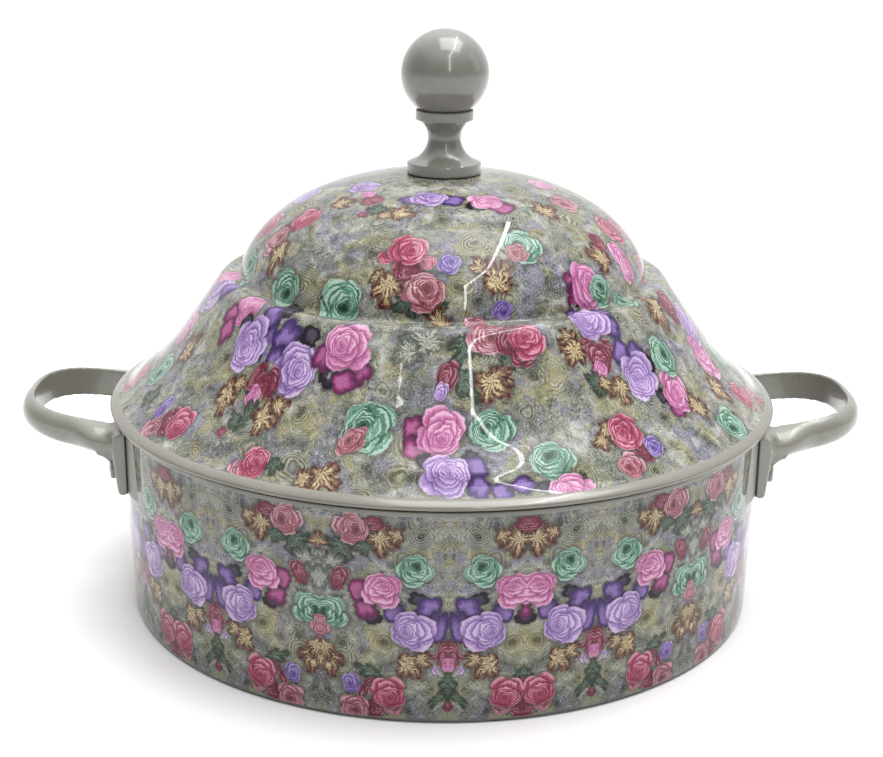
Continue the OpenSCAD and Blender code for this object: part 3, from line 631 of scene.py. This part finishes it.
def rubber():
    mat, n, b = material("black_gasket")
    p = n.node("ShaderNodeTexCoord").outputs["Object"]
    f, _ = n.noise(p, 1400.0, 3.0, 0.7)
    g, _ = n.noise(p, 90.0, 3.0, 0.6)
    n.put(b.inputs["Base Color"], n.mix(n.ramp(g, 0.3, 0.7), (0.012, 0.012, 0.012), (0.026, 0.025, 0.024)))
    n.put(b.inputs["Roughness"], n.ramp(f, 0.3, 0.7, 0.55, 0.75))
    bump = n.node("ShaderNodeBump")
    bump.inputs["Strength"].default_value = 0.3
    bump.inputs["Distance"].default_value = 0.0001
    n.put(bump.inputs["Height"], f)
    n.put(b.inputs["Normal"], bump.outputs[0])
    return mat


GREY = lacquer("grey_lacquer", lin(130, 129, 120), lin(123, 122, 113), 0.30, 0.6)
RIM = lacquer("rim_lacquer", lin(122, 121, 115), lin(112, 111, 105), 0.34, 0.4)
# the knob's grey lacquer: the handles' paint made darker, painted shade
KNOB_SHADED = lacquer("knob_lacquer_shaded", lin(116, 115, 108), lin(110, 109, 102), 0.26, 0.8)
PALE = lacquer("pale_lacquer", lin(119, 116, 106), lin(113, 110, 100), 0.28, 0.6)
# darker grey for the pot's underside and its rounded base corner, which shows as a dark line along the foot
DARK = lacquer("dark_edge", lin(92, 92, 88), lin(80, 80, 77), 0.42, 0.2)
COAT = coat_material("inside_coat", lin(150, 149, 143), lin(92, 92, 88), 0.36, 900.0)
STEEL = metal("brushed_steel")
BOLT = metal("bolt_steel", False)
RUBBER = rubber()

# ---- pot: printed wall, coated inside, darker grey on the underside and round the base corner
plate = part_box("base_plate")
step = 1.35
wall = evenly([(wall_r(1.6), 1.6), (wall_r(88.2), 88.2)], step)
foot = [(108.0, 1.5), (108.0, 0.3), (wall_r(0) - 1.3, 0.3), (wall_r(0) - 0.75, 0.42), (wall_r(0) - 0.3, 0.8)]
inner = [(wall_r(88.2) - 2.5, 88.2), (wall_r(60) - 2.5, 60), (wall_r(30) - 2.5, 30)]
inner += [(wall_r(4) - 2.5 - 9 * (1 - math.cos(math.radians(a))), 4 + 9 * (1 - math.sin(math.radians(a)))) for a in range(0, 91, 9)]
inner += [(90, 4), (40, 4), (0, 4)]
prof = [(0, 1.5), (60, 1.5)] + foot + [tuple(q) for q in wall] + inner
sl = [1] * (1 + len(foot)) + [1] + [0] * (len(wall) - 1) + [2] * len(inner)
pot = revolve("pot_shell", prof, 600, FOLD, (PRINT, DARK, COAT), sl)
co, cen, face_of = coords(pot.data)


def pot_place(p, ref):
    """Distance along the folded repeat and height, in mm. ref is not used."""
    az = np.degrees(np.arctan2(p[:, 0], -p[:, 1]))
    y = np.abs(wrap(az - FOLD))
    y = np.abs((y + 32.4) % 64.8 - 32.4)
    return (y - NARROW) * MM_DEG, p[:, 2], y


fd, fz, fy = pot_place(cen, None)
ld, lz, ly = pot_place(co, None)
side = np.where(fy < NARROW, -1.0, 1.0)
fd, ld = np.abs(fd), ld * side[face_of]          # mirrored again at the strip's edge


def pot_bed(k, what, sel=None):
    b = WALL[k]
    u, v = (fd, fz) if what == "face" else (ld[sel], lz[sel])
    return turn(u - b[0], v - b[1], b)


def turn(u, v, b):
    t = math.radians(b[5])
    uu, vv = u * math.cos(t) + v * math.sin(t), -u * math.sin(t) + v * math.cos(t)
    return uu, vv / b[4]


paint(pot.data, pot_bed, WALL)
at = pot.data.attributes.new("ground", "FLOAT_VECTOR", "CORNER")
at.data.foreach_set("vector", np.column_stack([ld, lz, np.zeros(len(ld))]).astype(np.float32).ravel())
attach(pot, "pot")
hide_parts("pot_body")

# ---- lid: printed skin, coated inside
skirt = [(143, 94.3), (141.6, 95.0), (140, 96.1), (138, 97.9), (134, 102), (126, 108.8), (119, 116.6), (113, 124.6),
         (108, 131.5), (104.5, 136.4), (101, 141.3), (98.4, 144.6), (96.5, 146.2), (94.2, 146.7), (92, 146.3), (90, 146.4)]
dome = [(88.4 * math.sin(math.radians(a)) ** 0.79, min(148.9 + 41.3 * math.cos(math.radians(a)) ** 1.27, 189.8))
        for a in np.arange(90, 0, -0.1)]
skin = np.vstack([cr_spline(skirt, 60), [(88.9, 147.1)], dome])
skin = skin[np.concatenate([[True], np.hypot(*np.diff(skin, axis=0).T) > 1e-6])]
arc = np.concatenate([[0], np.cumsum(np.hypot(*np.diff(skin, axis=0).T))])
skin = evenly(skin, 1.45)
end = skin[-1]
tan = np.gradient(skin, axis=0)
tan /= np.linalg.norm(tan, axis=1)[:, None]
line = skin + 1.6 * np.column_stack([-tan[:, 1], tan[:, 0]]) * np.array([1, 1])
line = np.column_stack([skin[:, 0] - 1.6 * tan[:, 1], skin[:, 1] + 1.6 * tan[:, 0]])
line = [tuple(q) for q in line[::-3] if q[0] < 136.5 and q[1] < 188.0 and q[0] > 4]
lip = [(136.9, 98.2), (137.2, 83.1), (138.5, 83.1), (138.9, 83.7), (138.9, 89.1), (142.4, 89.1), (142.4, 94.3)]
prof = [(3.4, 188.2)] + [q for q in line] + lip + [tuple(q) for q in skin] + [(3.4, 189.8), (3.4, 188.2)]
n_in = len(line) + len(lip) + 1
sl = [1] * n_in + [0] * (len(prof) - n_in)
lid = revolve("lid_skin", prof, 560, 0.0, (PRINT, COAT), sl, sharp=50.0)
co, cen, face_of = coords(lid.data)
S_tab = np.concatenate([[0], np.cumsum(np.hypot(*np.diff(skin, axis=0).T))])


def lid_place(p):
    az = np.degrees(np.arctan2(p[:, 0], -p[:, 1]))
    r = np.hypot(p[:, 0], p[:, 1])
    # nearest point of the skin's profile, searched in blocks
    s = np.empty(len(p))
    for i in range(0, len(p), 20000):
        d = (skin[None, :, 0] - r[i:i + 20000, None]) ** 2 + (skin[None, :, 1] - p[i:i + 20000, 2][:, None]) ** 2
        s[i:i + 20000] = S_tab[np.argmin(d, axis=1)]
    return az, r, s


faz, fr, fs = lid_place(cen)
uniq, inv = np.unique(np.round(np.column_stack([np.hypot(co[:, 0], co[:, 1]), co[:, 2]]), 3), axis=0, return_inverse=True)
_, _, us = lid_place(np.column_stack([np.zeros(len(uniq)), -uniq[:, 0], uniq[:, 1]]))
laz = np.degrees(np.arctan2(co[:, 0], -co[:, 1]))
lr, ls = np.hypot(co[:, 0], co[:, 1]), us[np.ravel(inv)]
BACK = [(180 - b[0], b[1], b[2], b[3], b[4], -b[5]) for b in LID if -66 < b[0] < 66]
ALL = LID + BACK


def lid_bed(k, what, sel=None):
    b = ALL[k]
    if what == "face":
        return turn(np.radians(wrap(faz - b[0])) * fr, fs - b[1], b)
    return turn(np.radians(wrap(laz[sel] - b[0])) * lr[sel], ls[sel] - b[1], b)


paint(lid.data, lid_bed, ALL)
at = lid.data.attributes.new("ground", "FLOAT_VECTOR", "CORNER")
at.data.foreach_set("vector", (co + (400.0, 0.0, 0.0)).astype(np.float32).ravel())
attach(lid, "lid")
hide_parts("lid_shell")

# ---- CAD pieces that keep their own shape
def finish_node(node, mat):
    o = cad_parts[node]
    for k in range(max(len(o.material_slots), 1)):
        if k < len(o.material_slots):
            o.material_slots[k].material = mat


for node in ("left_handle_screws", "right_handle_screws"):
    finish_node(node, GREY)
# the knob and its pedestal take the darkened grey, painted shade on the same paint as the handles
for node in ("knob_pedestal", "knob_ball"):
    finish_node(node, KNOB_SHADED)
for node in ("left_handle_lugs", "right_handle_lugs"):
    finish_node(node, GREY)
for node in ("left_foot_gaskets", "right_foot_gaskets", "knob_foot_washer", "knob_gasket"):
    finish_node(node, RUBBER)
finish_node("base_plate", STEEL)
for node in ("knob_stud", "knob_inner_washer", "knob_lock_washer", "knob_nut"):
    finish_node(node, BOLT)

# ---- rings, turned smooth
w = wall_r(88.2)
ring = revolve("pot_ring", [(w - 2.5, 88.2), (w - 2.5, 88.68), (w - 2.45, 88.76), (w - 2.38, 88.8), (w + 0.2, 88.8), (w + 0.36, 88.74),
                            (w + 0.5, 88.56), (w + 0.55, 88.3), (w + 0.55, 87.3), (w + 0.48, 87.0), (w + 0.3, 86.75),
                            (wall_r(86.6), 86.6), (w, 88.2), (w - 2.5, 88.2)], 600, 0.0, (RIM,))
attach(ring, "pot")
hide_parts("pot_rim_ring")
crest = cr_spline([(143.0, 94.3), (144.2, 93.9), (145.3, 93.35), (146.2, 92.75), (146.68, 92.3), (146.92, 91.9), (146.96, 91.5),
                   (146.9, 91.1), (146.7, 90.85), (146.3, 90.8), (145.9, 91.05), (145.6, 91.6)], 4)
ring = revolve("lid_ring", [(142.4, 90.6), (142.4, 94.3)] + [tuple(q) for q in crest] + [(143.9, 91.6), (143.6, 90.6), (142.4, 90.6)],
               640, 0.0, (PALE,), sharp=40.0)
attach(ring, "lid")
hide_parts("lid_rim_ring")


# ---- handles: the cast loop flares and blends into its feet
def spow(c, e):
    return math.copysign(abs(c) ** e, c)


def block(prof, t0, t1, lean, side, way):
    """A foot's block: a profile in (distance from the axis, height) run along the foot's face."""
    verts, faces = [], []
    k = len(prof)
    c, q = math.cos(math.radians(15)), math.sin(math.radians(15))
    for end in (0, 1):
        for nn, z in prof:
            t = t0 if end == 0 else t1 - (nn - 143.3) * lean
            verts.append((side * (nn * c - t * q) * MM, way * (nn * q + t * c) * MM, z * MM))
    for j in range(k):
        faces.append((j, (j + 1) % k, k + (j + 1) % k, k + j))
    faces.append(tuple(range(k - 1, -1, -1)))
    faces.append(tuple(range(k, 2 * k)))
    return verts, faces


def loop_blocks(side):
    half = []
    for a in np.arange(0, 90.1, 1.5):
        c, q = math.cos(math.radians(a)), math.sin(math.radians(a))
        half.append((148.6 + 32.6 * spow(c, 2 / 2.64), 35.2 * spow(q, 2 / 2.64)))
    half += [(x, 35.2) for x in (147.4, 146.2, 145.0, 143.8, 142.6, 141.4, 140.5)]
    half = [(x, y + 0.6 * (max(168 - x, 0) / 20) ** 2) for x, y in half]
    path = [(x, -y) for x, y in reversed(half)] + half[1:]
    path = evenly(path, 1.1)
    tan = np.gradient(path, axis=0)
    tan /= np.linalg.norm(tan, axis=1)[:, None]
    verts, faces = [], []
    sec = [(spow(math.cos(t), 2 / 1.9), spow(math.sin(t), 2 / 1.9) / 2) for t in np.radians(np.arange(-90, 90.1, 7.5))]
    k = len(sec)
    for (x, y), (tx, ty) in zip(path, tan):
        wide = min(max((x - 150) / 31.2, 0), 1)
        near = min(max((161.5 - x) / 14.0, 0), 1)
        near = near * near * (3 - 2 * near)
        th = 4.7 + 0.95 * wide + 6.4 * near
        for p0, p1 in sec:
            verts.append((side * (x + ty * th * p0) * MM, (y - tx * th * p0) * MM, (81.5 + 0.16 * (x - 150) + 13.7 * p1) * MM))
    m = len(path)
    for i in range(m - 1):
        for j in range(k):
            a, b = i * k + j, i * k + (j + 1) % k
            faces.append((a, b, b + k, a + k))
    faces.append(tuple(range(k)))
    faces.append(tuple((m - 1) * k + j for j in reversed(range(k))))
    return verts, faces


def cast_handle(node, name, side):
    """Loop, slab feet and the webs under the arms, fused and eased as one casting."""
    import bmesh
    slab = [(143.3, 61.2), (144.0, 60.5), (146.4, 60.5), (146.9, 61.1), (147.85, 71.0), (148.9, 81.0), (148.3, 85.0),
            (146.6, 87.3), (143.3, 88.4)]
    web = [(145.0, 66.8), (147.5, 67.6), (148.3, 70.2), (149.6, 72.6), (151.8, 74.3), (154.6, 75.2), (155.0, 80.0), (148.0, 86.5), (145.0, 86.5)]
    bm = bmesh.new()
    parts = [loop_blocks(side)]
    for way in (-1, 1):
        parts += [block(slab, -2.0, 18.4, 0.38, side, way), block(web, -2.4, 9.4, 0.34, side, way)]
    for verts, faces in parts:
        me = bpy.data.meshes.new("part")
        me.from_pydata(verts, [], faces)
        one = bmesh.new()
        one.from_mesh(me)
        bmesh.ops.recalc_face_normals(one, faces=one.faces)
        one.to_mesh(me)
        one.free()
        bm.from_mesh(me)
        bpy.data.meshes.remove(me)
    me = bpy.data.meshes.new(name)
    bm.to_mesh(me)
    bm.free()
    o = bpy.data.objects.new(name, me)
    col.objects.link(o)
    r = o.modifiers.new("fuse", "REMESH")
    r.mode, r.voxel_size = "VOXEL", 0.0006
    e = o.modifiers.new("ease", "SMOOTH")
    e.factor, e.iterations = 0.5, 11
    bpy.context.view_layer.update()
    new = bpy.data.meshes.new_from_object(o.evaluated_get(bpy.context.evaluated_depsgraph_get()))
    o.modifiers.clear()
    o.data = new
    new.name = name
    new.materials.clear()
    new.materials.append(GREY)
    new.polygons.foreach_set("use_smooth", [True] * len(new.polygons))
    new.polygons.foreach_set("material_index", [0] * len(new.polygons))
    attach(o, "pot")
    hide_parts(node)
    return o


for node, name, side in (("left_handle", "left_cast_handle", -1), ("right_handle", "right_cast_handle", 1)):
    h = cast_handle(node, name, side)
    print(name, len(h.data.polygons), [round(v, 4) for c in h.bound_box for v in c][:3])

# ---------------------------------------------------------------- floor, light and camera
mat, n, b = material("studio_floor")
p = n.node("ShaderNodeTexCoord").outputs["Object"]
n.put(b.inputs["Base Color"], n.mix(n.ramp(n.noise(p, 3.0, 2.0, 0.5)[0], 0.3, 0.7), (0.86, 0.86, 0.86), (0.88, 0.88, 0.88)))
b.inputs["Roughness"].default_value = 0.55
b.inputs["Specular IOR Level"].default_value = 0.3
me = bpy.data.meshes.new("studio_floor")
me.from_pydata([(-24, -24, 0), (24, -24, 0), (24, 24, 0), (-24, 24, 0)], [], [(0, 1, 2, 3)])
me.materials.append(mat)
floor = bpy.data.objects.new("studio_floor", me)
floor.location.z = -0.0002
col.objects.link(floor)

world = bpy.data.worlds.new("studio")
S.world = world
world.use_nodes = True
wn = Net(world.node_tree)
wd = wn.sep(wn.node("ShaderNodeTexCoord").outputs["Generated"])
# a pale room: bright overhead and behind, dimmer on the camera's side
glow = wn.m("ADD", wn.ramp(wd[1], -0.1, 0.75, 0.14, 1.0), wn.ramp(wd[2], 0.35, 1.0, 0.0, 1.35))
# what shows behind the object is plain white from every side
seen = wn.node("ShaderNodeLightPath").outputs["Is Camera Ray"]
glow = wn.m("ADD", wn.m("MULTIPLY", glow, wn.m("SUBTRACT", 1.0, seen)), seen)
wn.put(world.node_tree.nodes["Background"].inputs[0], wn.comb(glow, glow, glow))
world.node_tree.nodes["Background"].inputs[1].default_value = 1.0


def area(name, place, look, size, size_y, power, colour=(1, 1, 1), shape="RECTANGLE", roll=0.0):
    l = bpy.data.lights.new(name, "AREA")
    l.shape = shape
    l.size, l.size_y = size, size_y
    l.energy = power
    l.color = colour
    o = bpy.data.objects.new(name, l)
    o.location = Vector(place)
    o.rotation_euler = (Vector(look) - Vector(place)).to_track_quat("-Z", "Y").to_euler()
    o.rotation_euler.rotate_axis("Z", roll)
    col.objects.link(o)
    return o


def tube(name, a, b, wide, level):
    """A thin straight light from a to b, facing the pot, with the same brightness all along it."""
    a, b = Vector(a), Vector(b)
    mid, run = (a + b) / 2, (b - a)
    o = area(name, mid, (0, -0.06, 0.13), wide, run.length, level * math.pi * wide * run.length)
    z = (mid - Vector((0, -0.06, 0.13))).normalized()
    y = (run - z * run.dot(z)).normalized()
    o.rotation_euler = Matrix((y.cross(z), y, z)).transposed().to_euler()
    return o


area("top_soft", (0.4, 0.0, 2.3), (0, 0, 0.1), 1.6, 1.6, 36.0)
area("right_soft", (1.9, 0.1, 1.0), (0, 0, 0.1), 0.8, 1.3, 2.5)
# the edge of a light tent: over the pot from back to front, then down in front of it
tube("tent_edge_top", (0.63, 1.10, 2.02), (0.61, -0.58, 2.02), 0.040, 26.0)
tube("tent_edge_turn", (0.61, -0.58, 2.02), (0.38, -1.36, 1.98), 0.040, 26.0)
tube("tent_edge_front", (0.38, -1.36, 1.98), (0.38, -2.0, 0.70), 0.040, 26.0)
tube("far_lamp", (-0.47, -1.18, 1.66), (-0.49, -1.26, 1.76), 0.018, 26.0)

cam = bpy.data.cameras.new("photo_view")
cam.sensor_fit, cam.sensor_width, cam.lens = "HORIZONTAL", 36.0, 67.27
cam.clip_start, cam.clip_end = 0.01, 50
eye, aim = Vector((-0.01034, -0.71024, 0.3163)), Vector((-0.000175, -0.00001, 0.09653))
co_ = bpy.data.objects.new("photo_view", cam)
co_.location = eye
rot = (aim - eye).to_track_quat("-Z", "Y").to_matrix()
co_.rotation_euler = (rot @ Matrix.Rotation(math.radians(0.60), 3, "Z")).to_euler()
col.objects.link(co_)
S.camera = co_
S.view_settings.view_transform = "Standard"
S.view_settings.look = "None"
